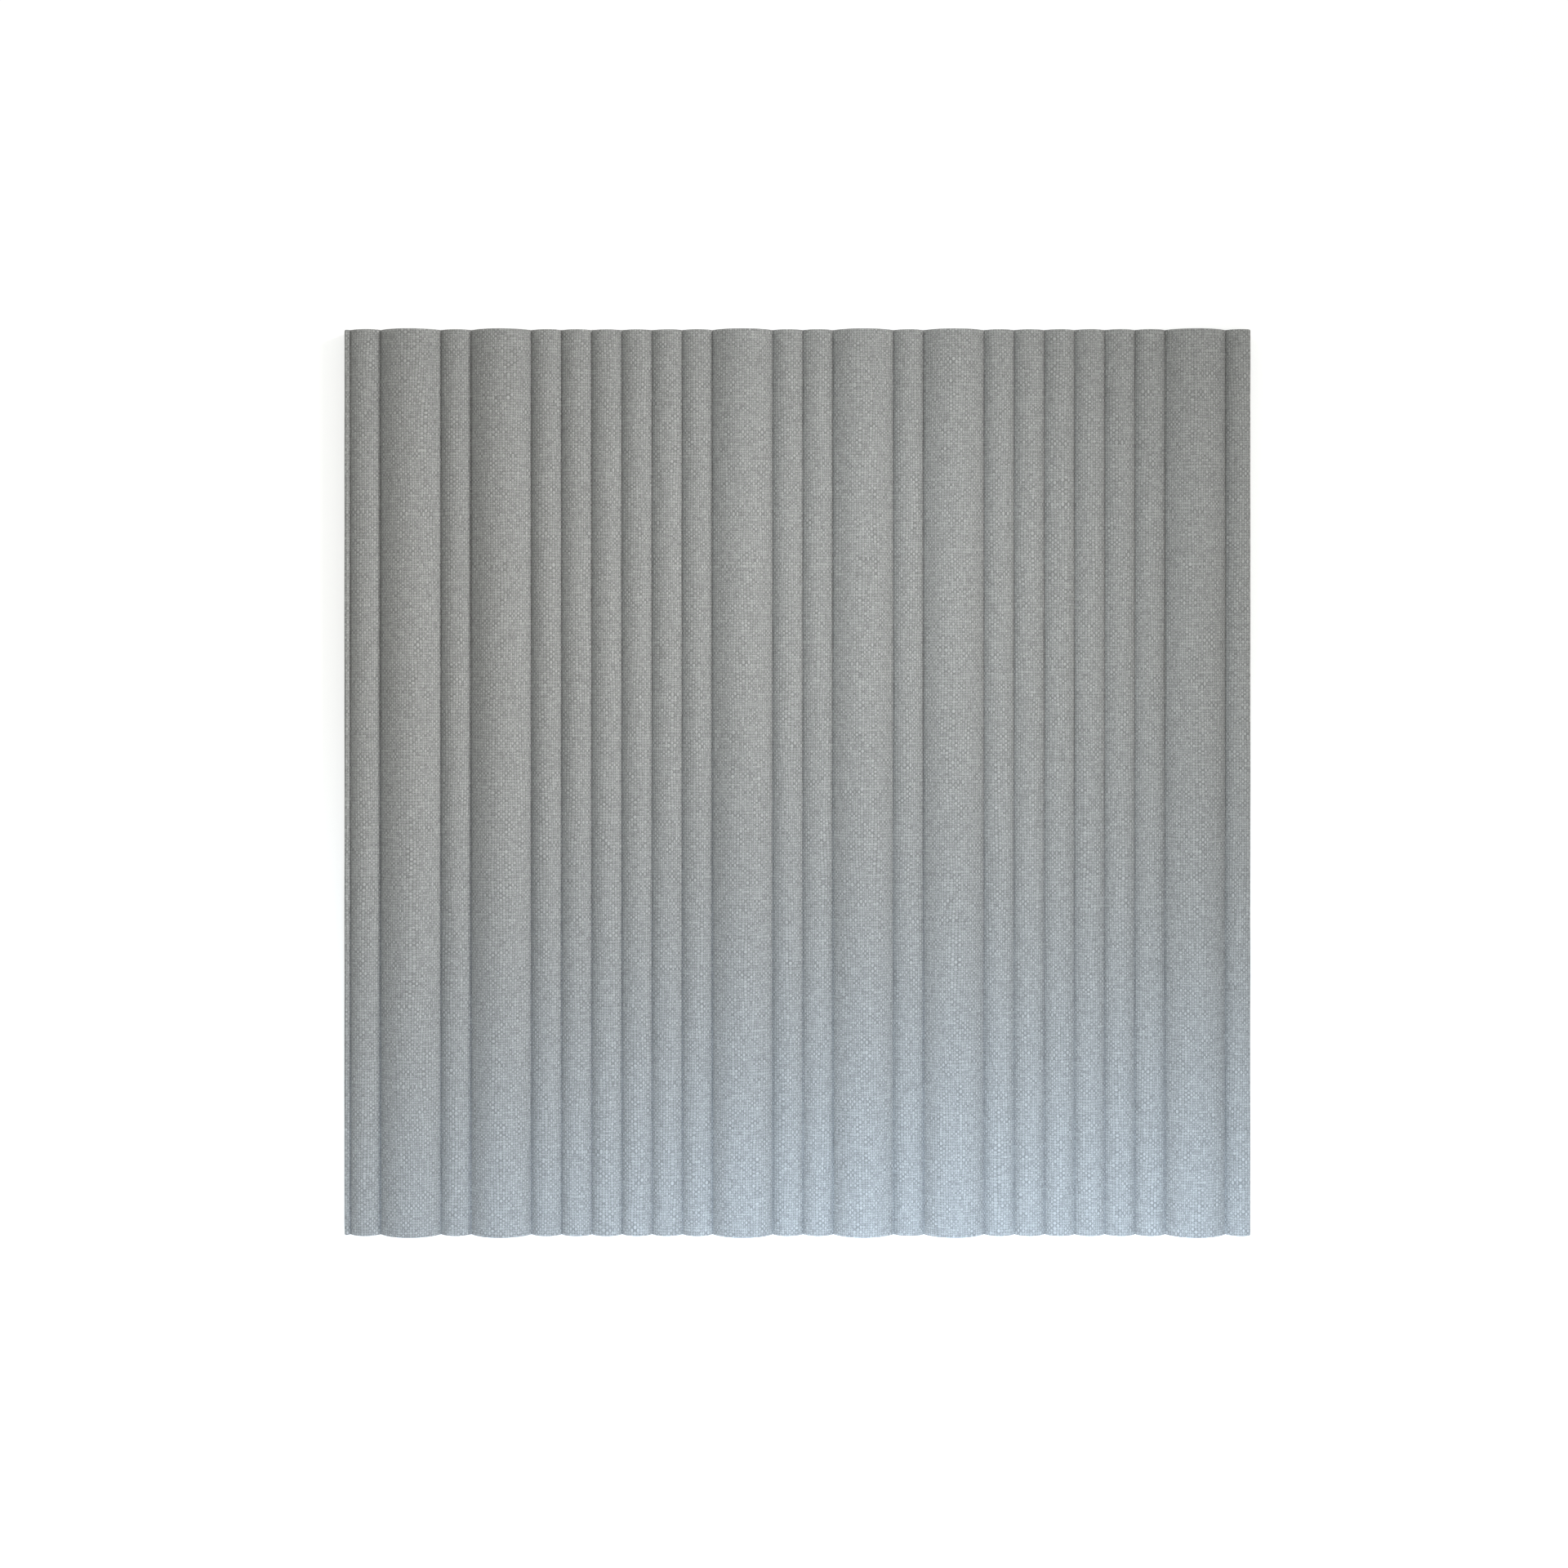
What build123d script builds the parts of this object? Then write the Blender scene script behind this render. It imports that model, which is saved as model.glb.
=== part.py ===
from build123d import *
import os

# A square wall tile moulded in one piece, with rounded ribs of two widths along its whole face.
# It lies on its flat back: +Z is out of the face, the ribs run along Y, and X counts them off
# from left to right. The origin is the middle of the back. Sizes are in millimetres.

# Driving dimensions
RIB_ORDER = "NWNWNNNNNNWNNWNWNNNNNNWN"  # from left to right, N a narrow rib and W a wide one
NARROW_RIB_WIDTH = 20.0
NARROW_RIB_RISE = 5.4
WIDE_RIB_WIDTH = 40.0
WIDE_RIB_RISE = 10.8
RIB_LENGTH = 600.0
FIRST_VALLEY = 4.0  # from the left side: the panel is cut out of a longer run of the same ribs
VALLEY_THICKNESS = 14.2  # from the back to the line where two ribs would meet if it were sharp
VALLEY_RADIUS = 0.8
SIDE_EDGE_RADIUS = 1.5  # along the two sides, where the cut ribs turn down into them
END_EDGE_BEVEL = 1.2  # across the ends of the ribs, and down the four upright corners

RIB_SIZES = {"N": (NARROW_RIB_WIDTH, NARROW_RIB_RISE), "W": (WIDE_RIB_WIDTH, WIDE_RIB_RISE)}
PANEL_WIDTH = sum(RIB_SIZES[rib][0] for rib in RIB_ORDER)


def rib_section(plane):
    """The panel cut across its ribs: flat back, straight sides, one arc for each rib."""
    ribs = RIB_ORDER[-1] + RIB_ORDER  # what the right side cuts off the last rib is left over at the left
    end = PANEL_WIDTH / 2 + FIRST_VALLEY
    start = valley_x = end - sum(RIB_SIZES[rib][0] for rib in ribs)
    with BuildSketch(plane) as section:
        with BuildLine():
            Polyline((start, VALLEY_THICKNESS), (start, 0), (end, 0), (end, VALLEY_THICKNESS))
            for rib in ribs:
                width, rise = RIB_SIZES[rib]
                ThreePointArc(
                    (valley_x, VALLEY_THICKNESS),
                    (valley_x + width / 2, VALLEY_THICKNESS + rise),
                    (valley_x + width, VALLEY_THICKNESS),
                )
                valley_x += width
        make_face()
        meeting_points = section.vertices().group_by(Axis.Y)[-1].sort_by(Axis.X)
        fillet(meeting_points[1:-1], VALLEY_RADIUS)
        Rectangle(PANEL_WIDTH, 2 * (VALLEY_THICKNESS + WIDE_RIB_RISE), mode=Mode.INTERSECT)
        by_x = section.vertices().group_by(Axis.X)
        fillet([side.sort_by(Axis.Y)[-1] for side in (by_x[0], by_x[-1])], SIDE_EDGE_RADIUS)
    return section.sketch


def ribbed_panel():
    """The section drawn out along the ribs, with the face bevelled over at both ends."""
    far_end = Plane.XZ.offset(-RIB_LENGTH / 2)
    panel = extrude(rib_section(far_end), RIB_LENGTH)
    # The outline is tangent from corner to corner, so each bevel runs on from one crest.
    crests = [end.edges().sort_by(Axis.Z)[-1] for end in panel.faces().filter_by(Axis.Y)]
    return chamfer(crests, END_EDGE_BEVEL)


os.makedirs("parts", exist_ok=True)
export_step(ribbed_panel(), "parts/ribbed_panel.step")
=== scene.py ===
"""A ribbed acoustic wall panel in grey woven cloth, lying on its back under soft studio light.

The panel is one moulded piece. Its section is a row of rounded ribs of two widths, drawn out along Y.
The cloth runs over the face, round the edges and down the four sides, and the back is bare felt.
Sizes are in metres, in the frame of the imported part.
"""

import logging
import math
from dataclasses import dataclass
from enum import Enum
from typing import Any, Callable, Union

import bmesh
import bpy
import numpy as np
from mathutils import Matrix, Vector


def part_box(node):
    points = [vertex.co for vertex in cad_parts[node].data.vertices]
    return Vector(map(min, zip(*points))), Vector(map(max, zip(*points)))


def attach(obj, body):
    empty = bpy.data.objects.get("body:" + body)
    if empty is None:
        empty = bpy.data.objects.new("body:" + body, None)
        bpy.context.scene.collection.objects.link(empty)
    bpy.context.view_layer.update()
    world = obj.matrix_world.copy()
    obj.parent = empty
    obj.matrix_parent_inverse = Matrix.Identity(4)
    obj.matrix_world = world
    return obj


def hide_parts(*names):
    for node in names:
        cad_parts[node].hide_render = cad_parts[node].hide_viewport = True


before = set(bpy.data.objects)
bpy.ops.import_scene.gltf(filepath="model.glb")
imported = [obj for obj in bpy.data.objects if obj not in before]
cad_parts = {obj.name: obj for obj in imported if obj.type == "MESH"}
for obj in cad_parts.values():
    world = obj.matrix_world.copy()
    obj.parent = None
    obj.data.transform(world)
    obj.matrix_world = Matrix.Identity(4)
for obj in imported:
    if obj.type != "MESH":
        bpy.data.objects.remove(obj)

LOG = logging.getLogger("ribbed_panel")
MILLIMETRE = 0.001
TOUCH = 1e-6
CAD_NODE = "ribbed_panel"
BODY = "root"
CLOTH_MAP = "cloth"
TEXTURE_MAP = "OFBake"

Colour = tuple[float, float, float]
Socket = bpy.types.NodeSocket


class Value:
    """A socket that carries one number, with Python's operators for the maths on it."""

    def __init__(self, tree: bpy.types.NodeTree, socket: Socket) -> None:
        """Wrap a socket of a node tree."""
        self.tree = tree
        self.socket = socket

    def maths(self, operation: str, *terms: "Number") -> "Value":
        """Add a Math node.

        Args:
            operation: What the node does.
            terms: The values or numbers on its sockets, in order.

        Returns:
            The node's result.
        """
        node = self.tree.nodes.new("ShaderNodeMath")
        node.operation = operation
        for socket, term in zip(node.inputs, terms):
            if isinstance(term, Value):
                self.tree.links.new(term.socket, socket)
            else:
                socket.default_value = term
        return Value(self.tree, node.outputs[0])

    def __add__(self, other: "Number") -> "Value":
        """Sum of two values."""
        return self.maths("ADD", self, other)

    def __sub__(self, other: "Number") -> "Value":
        """Difference of two values."""
        return self.maths("SUBTRACT", self, other)

    def __rsub__(self, other: float) -> "Value":
        """Difference from a number."""
        return self.maths("SUBTRACT", other, self)

    def __mul__(self, other: "Number") -> "Value":
        """Product of two values."""
        return self.maths("MULTIPLY", self, other)

    def __truediv__(self, other: "Number") -> "Value":
        """Quotient of two values."""
        return self.maths("DIVIDE", self, other)

    def __pow__(self, other: "Number") -> "Value":
        """Power of a value."""
        return self.maths("POWER", self, other)

    def __mod__(self, other: "Number") -> "Value":
        """Remainder that is never negative."""
        return self.maths("FLOORED_MODULO", self, other)

    def __gt__(self, other: "Number") -> "Value":
        """One where this value is the larger, and otherwise nought."""
        return self.maths("GREATER_THAN", self, other)

    __radd__ = __add__
    __rmul__ = __mul__

    def floor(self) -> "Value":
        """Whole number at or below a value."""
        return self.maths("FLOOR", self)

    def or_more(self, other: "Number") -> "Value":
        """The larger of two values."""
        return self.maths("MAXIMUM", self, other)


Number = Union[Value, float]


def in_view(tree: bpy.types.NodeTree) -> Value:
    """Tell what the camera sees, also in a shine or through something clear, from what only gives light.

    Args:
        tree: The node tree that asks.

    Returns:
        One for what is seen, and otherwise nought.
    """
    path = tree.nodes.new("ShaderNodeLightPath").outputs
    rays = ("Is Camera Ray", "Is Glossy Ray", "Is Transmission Ray")
    camera, shine, clear = (Value(tree, path[ray]) for ray in rays)
    return camera.or_more(shine).or_more(clear)


class Recipe:
    """A material in the making, from an empty node tree to its output."""

    def __init__(self, name: str) -> None:
        """Start a material of that name."""
        self.material = bpy.data.materials.new(name)
        self.material.use_nodes = True
        self.tree = self.material.node_tree
        self.tree.nodes.clear()

    def node(self, kind: str, settings: dict[str, Any] | None = None, **sockets: Any) -> bpy.types.Node:
        """Add a node.

        Args:
            kind: The node's type.
            settings: Its own properties, which are set first.
            sockets: Values or links for its inputs, with underscores for the spaces in their names.

        Returns:
            The new node.
        """
        node = self.tree.nodes.new(kind)
        for name, setting in (settings or {}).items():
            setattr(node, name, setting)
        for name, given in sockets.items():
            wanted = name.replace("_", " ")
            socket = next(item for item in node.inputs if item.name == wanted and item.enabled)
            source = given.socket if isinstance(given, Value) else given
            if isinstance(source, Socket):
                self.tree.links.new(source, socket)
            else:
                socket.default_value = source
        return node

    def value(self, socket: Socket) -> Value:
        """A socket of this material as a number to calculate with."""
        return Value(self.tree, socket)

    def vector(self, x: Number, y: Number, z: Number = 0.0) -> Socket:
        """Three numbers joined as a vector."""
        return self.node("ShaderNodeCombineXYZ", X=x, Y=y, Z=z).outputs[0]

    def noise(self, place: Socket, scale: float, detail: float = 2.0) -> Value:
        """Soft noise from nought to one.

        Args:
            place: The coordinates at which it is read.
            scale: Its cycles for each unit of them.
            detail: How many finer layers it has.

        Returns:
            The noise there.
        """
        node = self.node("ShaderNodeTexNoise", Vector=place, Scale=scale, Detail=detail)
        return self.value(node.outputs[0])

    def chance(self, place: Socket) -> Value:
        """A number from nought to one for each whole step in two directions, unlike its neighbours."""
        node = self.node("ShaderNodeTexWhiteNoise", {"noise_dimensions": "2D"}, Vector=place)
        return self.value(node.outputs[0])

    def blend(self, share: Number, low: Colour | Socket, high: Colour | Socket) -> Socket:
        """Mix two colours.

        Args:
            share: How much there is of the second one.
            low: The first colour, or a link to it.
            high: The second colour, or a link to it.

        Returns:
            The mixed colour.
        """
        ends = [end if isinstance(end, Socket) else (*end, 1.0) for end in (low, high)]
        node = self.node("ShaderNodeMix", {"data_type": "RGBA"}, Factor=share, A=ends[0], B=ends[1])
        return next(item for item in node.outputs if item.enabled)

    def finish(self, shader: Socket) -> bpy.types.Material:
        """Wire a shader to the output and hand the material over."""
        self.node("ShaderNodeOutputMaterial", Surface=shader)
        return self.material


@dataclass(frozen=True)
class WovenCloth:
    """Coarse plain-woven upholstery cloth in mixed grey yarns, matt with a faint nap, with painted shade in
    the gaps between the yarns.
    """

    dark_yarn: Colour = (0.252, 0.253, 0.251)
    light_yarn: Colour = (0.480, 0.482, 0.479)
    # painted shade: the dark colour painted into the gaps between the yarns, where the threads dip
    painted_gap_shade: Colour = (0.120, 0.121, 0.119)
    warp_pitch: float = 1.66 * MILLIMETRE
    weft_pitch: float = 1.58 * MILLIMETRE
    wander: float = 3.8  # how far the threads stray from even spacing, in threads
    wander_across: float = 0.12  # cycles of straying for each thread that is crossed
    wander_along: float = 0.015  # and for each thread's width along a thread
    tone_step: float = 7.31  # from thread to thread, so large that neighbours have unlike tones
    tone_run: float = 0.31  # cycles of tone for each thread's width along a thread
    patch_run: float = 0.3  # cycles of the patches in which warp and weft differ more, or less
    contrast: float = 0.14  # between warp and weft on the whole
    patchiness: float = 0.9  # how far that varies from patch to patch
    tone_share: float = 0.7
    knuckle_share: float = 0.45
    fibre_share: float = 0.8
    fibre_scale: float = 1100.0  # cycles to the metre
    # cover and gap_edge shape how far the painted shade spreads from the gaps between the yarns
    cover: float = 1.7  # how far the yarns close the gaps between them
    gap_edge: float = 0.8  # under one, the gaps have narrow edges
    relief: float = 0.30 * MILLIMETRE
    relief_strength: float = 0.6
    fibre_relief: float = 0.15
    weft_layer: float = 5.0  # depth in the noise at which the weft is read, apart from the warp
    patch_layer: float = 9.0

    def make(self) -> bpy.types.Material:
        """Weave the cloth on the piece's own map, so that it follows the ribs and turns over the edges.

        Returns:
            The cloth's material.
        """
        recipe = Recipe("woven_cloth")
        place = recipe.node("ShaderNodeUVMap", {"uv_map": CLOTH_MAP}).outputs[0]
        across, along = self.threads(recipe, place)
        warp, weft = across.floor(), along.floor()
        warp_round, weft_round = self.rounded(across - warp), self.rounded(along - weft)
        over = 1 - 2 * ((warp + weft) % 2)
        warp_height = warp_round * (0.5 + 0.5 * over * weft_round)
        weft_height = weft_round * (0.5 - 0.5 * over * warp_round)
        height = warp_height.or_more(weft_height)

        warp_place = recipe.vector(warp * self.tone_step, along * self.tone_run)
        weft_place = recipe.vector(across * self.tone_run, weft * self.tone_step, self.weft_layer)
        warp_tone, weft_tone = (recipe.noise(spot, 1.0, 0.0) for spot in (warp_place, weft_place))
        warp_shows = warp_height > weft_height
        tone = weft_tone + warp_shows * (warp_tone - weft_tone)
        patch = recipe.vector(across * self.patch_run, along * self.patch_run, self.patch_layer)
        contrast = self.contrast + (recipe.noise(patch, 1.0, 0.0) - 0.5) * self.patchiness
        fibre = recipe.noise(place, self.fibre_scale, 0.0)
        knuckle = recipe.chance(recipe.vector(warp, weft))
        mixed = 0.5 + (2 * warp_shows - 1) * contrast
        mixed = mixed + (tone - 0.5) * self.tone_share
        mixed = mixed + (knuckle - 0.5) * self.knuckle_share + (fibre - 0.5) * self.fibre_share
        yarn = recipe.blend(mixed, self.dark_yarn, self.light_yarn)
        # the yarns' colour turns to painted shade where the threads dip into the gaps between them
        shown = recipe.blend((self.cover * height) ** self.gap_edge, self.painted_gap_shade, yarn)
        bump = recipe.node(
            "ShaderNodeBump",
            Strength=self.relief_strength,
            Distance=self.relief,
            Height=height + fibre * self.fibre_relief,
        )
        shader = recipe.node(
            "ShaderNodeBsdfPrincipled",
            Base_Color=shown,
            Roughness=0.92,
            Specular_IOR_Level=0.15,
            Sheen_Weight=0.12,
            Sheen_Roughness=0.5,
            Normal=bump.outputs[0],
        )
        return recipe.finish(shader.outputs[0])

    def threads(self, recipe: Recipe, place: Socket) -> tuple[Value, Value]:
        """Count the warp and weft threads, which run nearly straight but are unevenly spaced.

        Args:
            recipe: The material in the making.
            place: The cloth's own coordinates, in metres.

        Returns:
            The count across the warp and the count along it.
        """
        axes = recipe.node("ShaderNodeSeparateXYZ", Vector=place).outputs
        across = recipe.value(axes[0]) / self.warp_pitch
        along = recipe.value(axes[1]) / self.weft_pitch
        warp_place = recipe.vector(across * self.wander_across, along * self.wander_along)
        weft_place = recipe.vector(across * self.wander_along, along * self.wander_across, self.weft_layer)
        warp_drift, weft_drift = (recipe.noise(spot, 1.0) for spot in (warp_place, weft_place))
        return across + warp_drift * self.wander, along + weft_drift * self.wander

    @staticmethod
    def rounded(share: Value) -> Value:
        """A thread's round back, from nought at its edges to one along its middle."""
        return 4 * share * (1 - share)


@dataclass(frozen=True)
class NeedleFelt:
    """The plain back of the moulding: pressed fibre, matt and faintly mottled."""

    pale: Colour = (0.43, 0.43, 0.42)
    dark: Colour = (0.30, 0.30, 0.30)
    mottle_scale: float = 60.0  # cycles to the metre
    fibre_scale: float = 1500.0
    mottle_share: float = 0.4  # of the mottle against the fibres
    relief: float = 0.4 * MILLIMETRE
    relief_strength: float = 0.6

    def make(self) -> bpy.types.Material:
        """Press the felt.

        Returns:
            The felt's material.
        """
        recipe = Recipe("needle_felt")
        place = recipe.node("ShaderNodeTexCoord").outputs["Object"]
        mottle = recipe.noise(place, self.mottle_scale, 4.0)
        fibre = recipe.noise(place, self.fibre_scale, 3.0)
        tone = self.mottle_share * mottle + (1 - self.mottle_share) * fibre
        shown = recipe.blend(tone, self.dark, self.pale)
        bump = recipe.node(
            "ShaderNodeBump",
            Strength=self.relief_strength,
            Distance=self.relief,
            Height=fibre,
        )
        shader = recipe.node(
            "ShaderNodeBsdfPrincipled",
            Base_Color=shown,
            Roughness=0.95,
            Specular_IOR_Level=0.1,
            Normal=bump.outputs[0],
        )
        return recipe.finish(shader.outputs[0])


@dataclass(frozen=True)
class StudioWhite:
    """White floor paint, lifted a little for the camera, that still takes the object's shadow."""

    colour: Colour = (0.85, 0.85, 0.85)
    lift: float = 0.50

    def make(self) -> bpy.types.Material:
        """Paint the floor.

        Returns:
            The floor's material.
        """
        recipe = Recipe("studio_white")
        lifted = recipe.blend(in_view(recipe.tree), (0.0, 0.0, 0.0), (self.lift, self.lift, self.lift))
        shader = recipe.node(
            "ShaderNodeBsdfPrincipled",
            Base_Color=(*self.colour, 1.0),
            Roughness=1.0,
            Specular_IOR_Level=0.0,
            Emission_Color=lifted,
            Emission_Strength=1.0,
        )
        return recipe.finish(shader.outputs[0])


class RibWidth(Enum):
    """The two widths of rib."""

    NARROW = "N"
    WIDE = "W"


@dataclass(frozen=True)
class Arc:
    """A round stretch of the section, drawn as a turn about a line along Y."""

    centre: Vector
    start: Vector
    end: Vector
    steps: int

    def turn(self) -> float:
        """The angle from start to end, clockwise as the section is seen from the near end."""
        before, after = self.start - self.centre, self.end - self.centre
        return math.atan2(after.x * before.z - after.z * before.x, before.dot(after))

    def draw(self) -> None:
        """Spin the picked edges about the centre."""
        bpy.ops.mesh.spin(steps=self.steps, angle=-self.turn(), center=self.centre, axis=(0, 1, 0))

    def points(self) -> list[Vector]:
        """The points after the start, one for each step."""
        spoke = self.start - self.centre
        turns = [self.turn() * step / self.steps for step in range(1, self.steps + 1)]
        return [self.centre + Matrix.Rotation(turn, 3, "Y") @ spoke for turn in turns]


@dataclass(frozen=True)
class Line:
    """A straight stretch of the section."""

    start: Vector
    end: Vector

    def draw(self) -> None:
        """Draw the picked edges out along the line."""
        bpy.ops.mesh.extrude_edges_move(TRANSFORM_OT_translate={"value": self.end - self.start})

    def points(self) -> list[Vector]:
        """The point after the start."""
        return [self.end]


Stroke = Union[Arc, Line]


@dataclass(frozen=True)
class Crest:
    """The round back of one rib."""

    centre: Vector
    radius: float
    steps: int

    def at(self, across: float) -> Vector:
        """The point of the crest at a distance across the panel."""
        up = math.sqrt(self.radius**2 - (across - self.centre.x) ** 2)
        return Vector((across, 0, self.centre.z + up))

    def over(self, left: Vector, right: Vector) -> Arc:
        """The stretch of the crest between two of its points."""
        return Arc(self.centre, left, right, self.steps)


@dataclass
class RibSection:
    """The panel cut across its ribs, worked out from its width and the order of the ribs."""

    width: float
    order: str = "NWNWNNNNNNWNNWNWNNNNNNWN"
    wide_units: int = 2
    narrow_rise: float = 5.4 * MILLIMETRE
    wide_rise: float = 10.8 * MILLIMETRE
    first_crease: float = 4.0 * MILLIMETRE
    crease_height: float = 14.2 * MILLIMETRE
    slit_width: float = 1.1 * MILLIMETRE
    slit_depth: float = 0.9 * MILLIMETRE
    slit_taper: float = 6.0  # how many times wider it is at its rims than at its floor
    shoulder_radius: float = 1.5 * MILLIMETRE
    shoulder_steps: int = 9
    narrow_steps: int = 16
    wide_steps: int = 28

    def strokes(self) -> list[Stroke]:
        """Work out the line of the face.

        Returns:
            Stretches that follow on from each other, from the left side to the right one.
        """
        crests = self.crests()
        start, left = self.shoulder(crests[0], -1)
        found = [start]
        for before, after in zip(crests, crests[1:]):
            slit = self.slit(before, after)
            found += [before.over(left, slit[0].start), *slit]
            left = slit[-1].end
        end, right = self.shoulder(crests[-1], 1)
        return [*found, crests[-1].over(left, right), end]

    def crests(self) -> list[Crest]:
        """The ribs' round backs from left to right, first what the right side cuts off the last one."""
        ribs = [RibWidth(letter) for letter in self.order[-1] + self.order]
        units = [self.wide_units if rib is RibWidth.WIDE else 1 for rib in ribs]
        unit = self.width / sum(units[1:])
        edge = self.first_crease - self.width / 2 - unit * units[0]
        found = []
        for rib, count in zip(ribs, units):
            wide = rib is RibWidth.WIDE
            span = unit * count
            rise = self.wide_rise if wide else self.narrow_rise
            radius = (span**2 / 4 + rise**2) / (2 * rise)
            centre = Vector((edge + span / 2, 0, self.crease_height + rise - radius))
            found.append(Crest(centre, radius, self.wide_steps if wide else self.narrow_steps))
            edge += span
        return found

    def slit(self, left: Crest, right: Crest) -> list[Line]:
        """The narrow slit between two ribs, which the cloth is tucked into.

        Args:
            left: The rib before it.
            right: The rib after it.

        Returns:
            Its two walls and its floor, from left to right.
        """
        middle = left.centre.x + math.sqrt(left.radius**2 - (self.crease_height - left.centre.z) ** 2)
        rims = left.at(middle - self.slit_width / 2), right.at(middle + self.slit_width / 2)
        floor = min(rim.z for rim in rims) - self.slit_depth
        half = self.slit_width / self.slit_taper / 2
        feet = [Vector((middle + side * half, 0, floor)) for side in (-1, 1)]
        corners = [rims[0], *feet, rims[1]]
        return [Line(start, end) for start, end in zip(corners, corners[1:])]

    def shoulder(self, crest: Crest, side: int) -> tuple[Arc, Vector]:
        """The turn between the panel's side and the rib that it cuts.

        Args:
            crest: The cut rib.
            side: Minus one at the left, one at the right.

        Returns:
            The turn, drawn from left to right, and the point where it meets the rib.
        """
        across = side * (self.width / 2 - self.shoulder_radius)
        reach = crest.radius - self.shoulder_radius
        centre = Vector((across, 0, crest.centre.z + math.sqrt(reach**2 - (across - crest.centre.x) ** 2)))
        meeting = crest.centre + (centre - crest.centre).normalized() * crest.radius
        wall = Vector((side * self.width / 2, 0, centre.z))
        ends = (wall, meeting) if side < 0 else (meeting, wall)
        return Arc(centre, *ends, self.shoulder_steps), meeting


@dataclass
class RibbedPanel:
    """The moulded panel: ribbed face, four plain sides and flat back, in one mesh."""

    section: RibSection
    length: float
    cloth: WovenCloth
    felt: NeedleFelt
    length_steps: int = 60
    edge_radius: float = 1.2 * MILLIMETRE
    edge_steps: int = 4
    back_radius: float = 0.6 * MILLIMETRE
    back_steps: int = 2
    unevenness: float = 0.3 * MILLIMETRE
    unevenness_span: float = 45.0 * MILLIMETRE
    texture_share: float = 0.88
    smooth_angle: float = math.radians(24)

    def build(self) -> bpy.types.Object:
        """Model the panel and dress it.

        Returns:
            The finished panel.
        """
        strokes = self.section.strokes()
        panel = self.left_side(strokes[0].start.z)
        self.draw_face(panel, strokes)
        self.drop_ends(panel)
        self.close_back()
        self.round_edges(panel)
        bpy.ops.object.mode_set(mode="OBJECT")
        bpy.ops.object.shade_smooth_by_angle(angle=self.smooth_angle)
        self.dress(panel)
        self.lay_cloth(panel, strokes)
        self.soften(panel)
        return panel

    def left_side(self, height: float) -> bpy.types.Object:
        """Stand a strip along the left side and leave it in edit mode.

        Args:
            height: From the back to where the shoulder starts.

        Returns:
            The new panel, which so far is that strip.
        """
        bpy.ops.object.select_all(action="DESELECT")
        bpy.ops.mesh.primitive_grid_add(
            x_subdivisions=1,
            y_subdivisions=self.length_steps,
            size=self.length,
            location=(-self.section.width / 2, 0, self.length / 2),
            rotation=(0, math.pi / 2, 0),
        )
        panel = bpy.context.object
        panel.name = panel.data.name = "ribbed_fabric_panel"
        bpy.ops.object.transform_apply(location=True, rotation=True, scale=True)
        bpy.ops.object.mode_set(mode="EDIT")
        bpy.ops.mesh.select_mode(type="EDGE")
        bpy.ops.transform.resize(value=(1, 1, height / self.length), center_override=(0, 0, 0))
        return panel

    def draw_face(self, panel: bpy.types.Object, strokes: list[Stroke]) -> None:
        """Draw the strip's upper edge along the section, rib by rib, and drop the right side.

        Args:
            panel: The panel, in edit mode.
            strokes: The line of the face.
        """
        top = strokes[0].start.z
        self.pick(panel, lambda edge: all(corner.co.z > top - TOUCH for corner in edge.verts))
        corner = strokes[-1].end
        for stroke in [*strokes, Line(corner, Vector((corner.x, 0, 0)))]:
            stroke.draw()

    def drop_ends(self, panel: bpy.types.Object) -> None:
        """Draw the ribs' outlines straight down at both ends, with one plain face under each shoulder."""
        self.pick(panel, lambda edge: self.on_end(edge) and not self.on_side(edge))
        bpy.ops.mesh.extrude_edges_move()
        bpy.ops.transform.resize(value=(1, 1, 0), center_override=(0, 0, 0))
        bpy.ops.mesh.select_all(action="SELECT")
        bpy.ops.mesh.remove_doubles(threshold=TOUCH)
        self.pick(panel, lambda edge: self.on_end(edge) and self.under_shoulder(edge))
        bpy.ops.mesh.dissolve_edges(use_verts=True)

    def close_back(self) -> None:
        """Fill the open back with one flat face and point every face outwards."""
        bpy.ops.mesh.select_all(action="DESELECT")
        bpy.ops.mesh.select_non_manifold()
        bpy.ops.mesh.edge_face_add()
        bpy.ops.mesh.select_all(action="SELECT")
        bpy.ops.mesh.normals_make_consistent(inside=False)

    def round_edges(self, panel: bpy.types.Object) -> None:
        """Round the ribs' ends and the upright corners, and take the sharpness off the back's rim."""
        self.pick(panel, lambda edge: self.on_end(edge) and (self.raised(edge) or self.on_side(edge)))
        bpy.ops.mesh.bevel(offset=self.edge_radius, segments=self.edge_steps, affect="EDGES")
        self.pick(panel, lambda edge: all(abs(corner.co.z) < TOUCH for corner in edge.verts))
        bpy.ops.mesh.bevel(offset=self.back_radius, segments=self.back_steps, affect="EDGES")

    def on_end(self, edge: bmesh.types.BMEdge) -> bool:
        """Whether an edge lies in the plane of either end."""
        return all(abs(abs(corner.co.y) - self.length / 2) < TOUCH for corner in edge.verts)

    def on_side(self, edge: bmesh.types.BMEdge) -> bool:
        """Whether an edge lies in the plane of either side."""
        return all(abs(abs(corner.co.x) - self.section.width / 2) < TOUCH for corner in edge.verts)

    def under_shoulder(self, edge: bmesh.types.BMEdge) -> bool:
        """Whether an edge stands upright below a shoulder, and not in the plane of the side."""
        start, end = (abs(corner.co.x) for corner in edge.verts)
        inset = self.section.width / 2 - start
        return abs(start - end) < TOUCH < inset < self.section.shoulder_radius

    @staticmethod
    def raised(edge: bmesh.types.BMEdge) -> bool:
        """Whether both ends of an edge are clear of the back."""
        return all(corner.co.z > TOUCH for corner in edge.verts)

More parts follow.
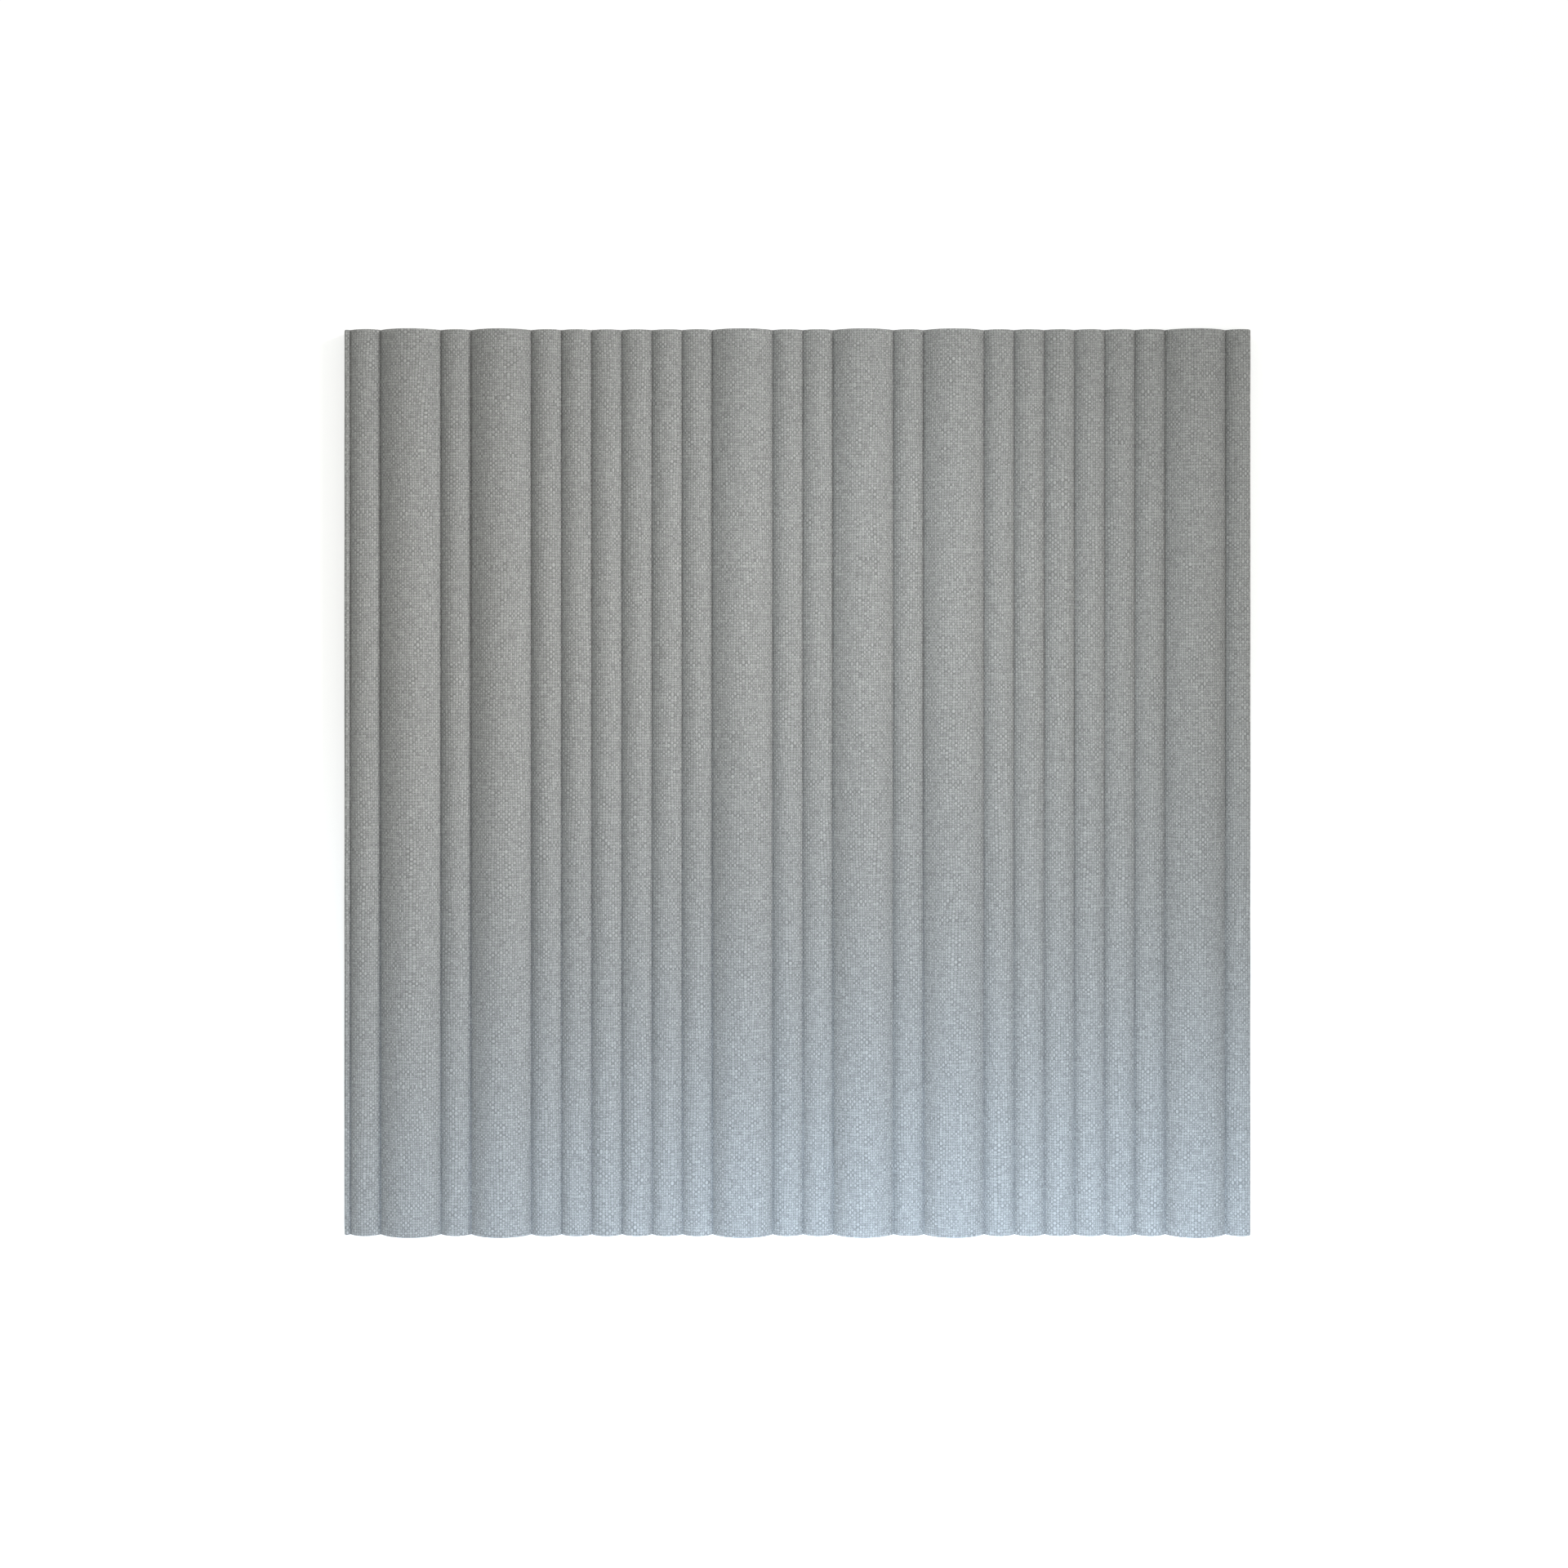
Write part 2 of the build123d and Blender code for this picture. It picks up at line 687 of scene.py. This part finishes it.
    @staticmethod
    def pick(panel: bpy.types.Object, wanted: Callable[[bmesh.types.BMEdge], bool]) -> None:
        """Select the edges that pass a test, and nothing else.

        Args:
            panel: The panel, in edit mode.
            wanted: The test.
        """
        bpy.ops.mesh.select_all(action="DESELECT")
        mesh = bmesh.from_edit_mesh(panel.data)
        for edge in mesh.edges:
            if wanted(edge):
                edge.select_set(True)
        bmesh.update_edit_mesh(panel.data)

    def dress(self, panel: bpy.types.Object) -> None:
        """Put cloth on everything but the flat back, which is felt."""
        for finish in (self.cloth, self.felt):
            panel.data.materials.append(finish.make())
        for face in panel.data.polygons:
            face.material_index = int(face.normal.z < TOUCH - 1)

    def lay_cloth(self, panel: bpy.types.Object, strokes: list[Stroke]) -> None:
        """Unroll the face and sides onto the cloth's map, and lay both finishes out for the textures.

        Args:
            panel: The panel, out of edit mode.
            strokes: The line of the face.
        """
        points = [strokes[0].start] + [point for stroke in strokes for point in stroke.points()]
        line = np.array([(point.x, point.z) for point in points]).T
        run = np.concatenate(([0.0], np.cumsum(np.hypot(np.diff(line[0]), np.diff(line[1])))))
        run -= run[-1] / 2
        mesh = panel.data
        x, y, z = self.at_corners(mesh)
        left = x < 0
        top = np.where(left, strokes[0].start.z, strokes[-1].end.z)
        down_side = np.where(left, -1, 1) * (run[-1] + np.maximum(top - z, 0))
        down_end = np.maximum(np.interp(x, line[0], line[1]) - z, 0)
        on_side = np.abs(x) > self.section.width / 2 - TOUCH
        across = np.where(on_side, down_side, np.interp(x, line[0], run))
        along = np.where(on_side, y, y + np.copysign(down_end, y))
        cloth_map = mesh.uv_layers.new(name=CLOTH_MAP)
        cloth_map.data.foreach_set("uv", np.stack((across, along), -1).ravel())

        shares = [0.5 + run / np.abs(run).max() / 2 for run in (across, along)]
        shares[1] *= self.texture_share
        flat = [0.5 + x / self.section.width, 0.5 + y / self.length]
        flat = [share * (1 - self.texture_share) for share in flat]
        flat[1] += self.texture_share
        on_back = self.faced_down(mesh)
        texture_map = mesh.uv_layers.new(name=TEXTURE_MAP)
        spread = [np.where(on_back, under, share) for under, share in zip(flat, shares)]
        texture_map.data.foreach_set("uv", np.stack(spread, -1).ravel())

    @staticmethod
    def at_corners(mesh: bpy.types.Mesh) -> np.ndarray:
        """The place of each face's corners, as rows of X, Y and Z."""
        places = np.empty(3 * len(mesh.vertices))
        mesh.vertices.foreach_get("co", places)
        corners = np.empty(len(mesh.loops), dtype=int)
        mesh.loops.foreach_get("vertex_index", corners)
        return places.reshape(-1, 3)[corners].T

    @staticmethod
    def faced_down(mesh: bpy.types.Mesh) -> np.ndarray:
        """Whether each face's corners belong to the bare back."""
        finishes = np.empty(len(mesh.polygons), dtype=int)
        mesh.polygons.foreach_get("material_index", finishes)
        counts = np.empty(len(mesh.polygons), dtype=int)
        mesh.polygons.foreach_get("loop_total", counts)
        return np.repeat(finishes > 0, counts)

    def soften(self, panel: bpy.types.Object) -> None:
        """Make the face a little uneven, as pressed fibre is, and leave the sides and the back straight."""
        face = panel.vertex_groups.new(name="face")
        level = self.section.crease_height
        face.add([corner.index for corner in panel.data.vertices if corner.co.z > level], 1.0, "ADD")
        swell = bpy.data.textures.new("pressed_unevenness", "CLOUDS")
        swell.noise_scale = self.unevenness_span
        displace = panel.modifiers.new("unevenness", "DISPLACE")
        displace.texture = swell
        displace.texture_coords = "LOCAL"
        displace.strength = self.unevenness
        displace.vertex_group = face.name
        bpy.ops.object.modifier_apply(modifier=displace.name)


@dataclass(frozen=True)
class Softbox:
    """A square area lamp with a grid over it that narrows its beam onto a spot on the floor."""

    name: str
    place: Vector
    aim: Vector
    side: float
    beam: float
    watts: float
    colour: Colour

    def hang(self) -> bpy.types.Object:
        """Hang the lamp.

        Returns:
            The lamp.
        """
        bpy.ops.object.light_add(type="AREA", location=self.place)
        lamp = bpy.context.object
        lamp.name = self.name
        lamp.rotation_euler = (self.aim - self.place).to_track_quat("-Z", "Y").to_euler()
        lamp.data.size = self.side
        lamp.data.spread = self.beam
        lamp.data.energy = self.watts
        lamp.data.color = self.colour
        return lamp


@dataclass
class Studio:
    """The white floor, the soft lamps and the camera that looks straight down."""

    face_height: float
    floor_side: float = 8.0
    camera_distance: float = 1.80
    frame_width: float = 1.0395
    frame_shift: float = -0.10
    picture_offset: tuple[float, float] = (0.0087, 0.0011)
    sensor_width: float = 36.0  # millimetres, as Blender takes it
    world_level: float = 0.615
    world_colour: Colour = (0.99, 1.0, 0.957)

    def build(self) -> None:
        """Lay the floor, hang the lamps and set up the camera."""
        self.lay_floor()
        for lamp in self.lamps():
            lamp.hang()
            LOG.info("lamp %s at %.1f W", lamp.name, lamp.watts)
        self.fill()
        self.set_camera()
        bpy.context.scene.view_settings.view_transform = "Standard"

    def lay_floor(self) -> None:
        """Lay the floor under the panel."""
        bpy.ops.mesh.primitive_plane_add(size=self.floor_side)
        floor = bpy.context.object
        floor.name = "floor"
        floor.data.materials.append(StudioWhite().make())

    @staticmethod
    def lamps() -> list[Softbox]:
        """A neutral lamp that rakes the ribs, a cool one over the near edge and a weak one behind."""
        key = Softbox(
            name="key",
            place=Vector((1.112, 0.613, 1.001)),
            aim=Vector((-0.422, 0.015, 0)),
            side=0.555,
            beam=0.494,
            watts=0.74,
            colour=(1.0, 0.998, 0.986),
        )
        window = Softbox(
            name="window",
            place=Vector((0.169, -0.776, 1.364)),
            aim=Vector((0.121, -0.773, 0)),
            side=0.65,
            beam=0.852,
            watts=8.2,
            colour=(0.617, 0.796, 1.0),
        )
        back = Softbox(
            name="back",
            place=Vector((-0.292, 0.681, 0.717)),
            aim=Vector((0.180, -0.008, 0)),
            side=0.2,
            beam=0.611,
            watts=0.206,
            colour=(0.871, 0.950, 1.0),
        )
        return [key, window, back]

    def fill(self) -> None:
        """Light everything evenly from all round at a low level, and show white past the floor's edge."""
        world = bpy.data.worlds.new("studio_fill")
        world.use_nodes = True
        tree = world.node_tree
        light = tree.nodes["Background"]
        light.inputs["Color"].default_value = (*self.world_colour, 1.0)
        light.inputs["Strength"].default_value = self.world_level
        white = tree.nodes.new("ShaderNodeBackground")
        white.inputs["Color"].default_value = (1.0, 1.0, 1.0, 1.0)
        mix = tree.nodes.new("ShaderNodeMixShader")
        sources = (in_view(tree).socket, light.outputs[0], white.outputs[0])
        for source, socket in zip(sources, mix.inputs):
            tree.links.new(source, socket)
        tree.links.new(mix.outputs[0], tree.nodes["World Output"].inputs["Surface"])
        bpy.context.scene.world = world

    def set_camera(self) -> None:
        """Look straight down from a little behind the middle, with the lens shifted back over the panel."""
        across, up = self.picture_offset
        back = -self.frame_shift * self.frame_width
        place = (-across, back - up, self.face_height + self.camera_distance)
        bpy.ops.object.camera_add(location=place, rotation=(0, 0, 0))
        camera = bpy.context.object
        camera.name = "camera"
        camera.data.sensor_width = self.sensor_width
        camera.data.lens = self.sensor_width * self.camera_distance / self.frame_width
        camera.data.shift_y = self.frame_shift
        bpy.context.scene.camera = camera


def main() -> None:
    """Build the panel in place of its solid, then the studio round it."""
    logging.basicConfig(level=logging.INFO, format="%(name)s: %(message)s")
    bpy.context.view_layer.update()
    low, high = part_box(CAD_NODE)
    section = RibSection(width=high.x - low.x)
    panel = RibbedPanel(section, high.y - low.y, WovenCloth(), NeedleFelt()).build()
    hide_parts(CAD_NODE)
    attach(panel, BODY)
    LOG.info("%s has %d faces", panel.name, len(panel.data.polygons))
    Studio(section.crease_height).build()


if __name__ == "__main__":
    main()
